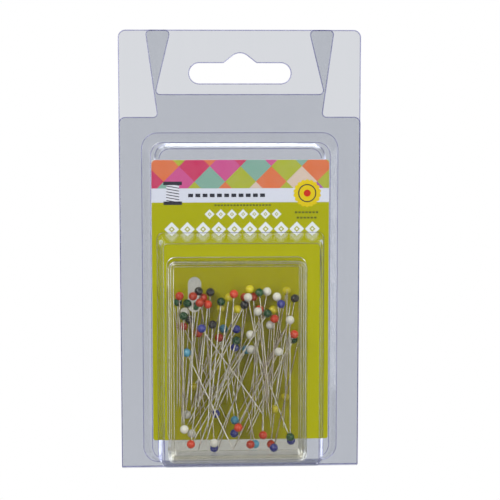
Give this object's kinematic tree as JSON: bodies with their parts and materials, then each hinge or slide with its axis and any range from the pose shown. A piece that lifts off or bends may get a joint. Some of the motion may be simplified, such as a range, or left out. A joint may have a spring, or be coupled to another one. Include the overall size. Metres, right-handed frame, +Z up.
{
  "type": "sewing pin hang pack",
  "caption": "Clear hinged clamshell hang pack with a printed card and a lidded clear box of ball-headed sewing pins.",
  "frame": {"origin": "centre of the hang slot, in the plane where the two clear shells meet", "axes": "+X across the pack to the right seen from the front, -Y out of the front face, +Z up as the pack hangs"},
  "size_m": [0.0756, 0.0141, 0.139],
  "materials": {
    "clear_sheet": "clear thermoformed sheet",
    "clear_box": "clear moulded plastic",
    "card": "coated printed card",
    "pin_steel": "polished nickel-plated wire",
    "head_red": "glossy ball",
    "head_white": "glossy ball",
    "head_green": "glossy ball",
    "head_yellow": "glossy ball",
    "head_blue": "glossy ball",
    "head_black": "glossy ball",
    "head_sky": "glossy ball"
  },
  "bodies": {
    "rear": {"rear_shell": "clear_sheet", "insert_card": "card", "box_tray": "clear_box", "pin_heads_red": "head_red", "pin_shafts_red": "pin_steel", "pin_heads_white": "head_white", "pin_shafts_white": "pin_steel", "pin_heads_green": "head_green", "pin_shafts_green": "pin_steel", "pin_heads_yellow": "head_yellow", "pin_shafts_yellow": "pin_steel", "pin_heads_blue": "head_blue", "pin_shafts_blue": "pin_steel", "pin_heads_black": "head_black", "pin_shafts_black": "pin_steel", "pin_heads_sky": "head_sky", "pin_shafts_sky": "pin_steel"},
    "front": {"front_shell": "clear_sheet"},
    "lid": {"box_lid": "clear_box"}
  },
  "joints": [
    {"name": "shell_hinge", "type": "hinge", "parent": "rear", "child": "front", "pos_m": [0, 0, -0.1254], "axis": [1, 0, 0], "range_deg": [0, 180]},
    {"name": "lid_hinge", "type": "hinge", "parent": "rear", "child": "lid", "pos_m": [-0.00135, -0.0051, -0.1183], "axis": [1, 0, 0], "range_deg": [0, 90]}
  ],
  "couplings": [
    {"joint": "lid_hinge", "follows": "shell_hinge", "ratio": 0.5}
  ]
}
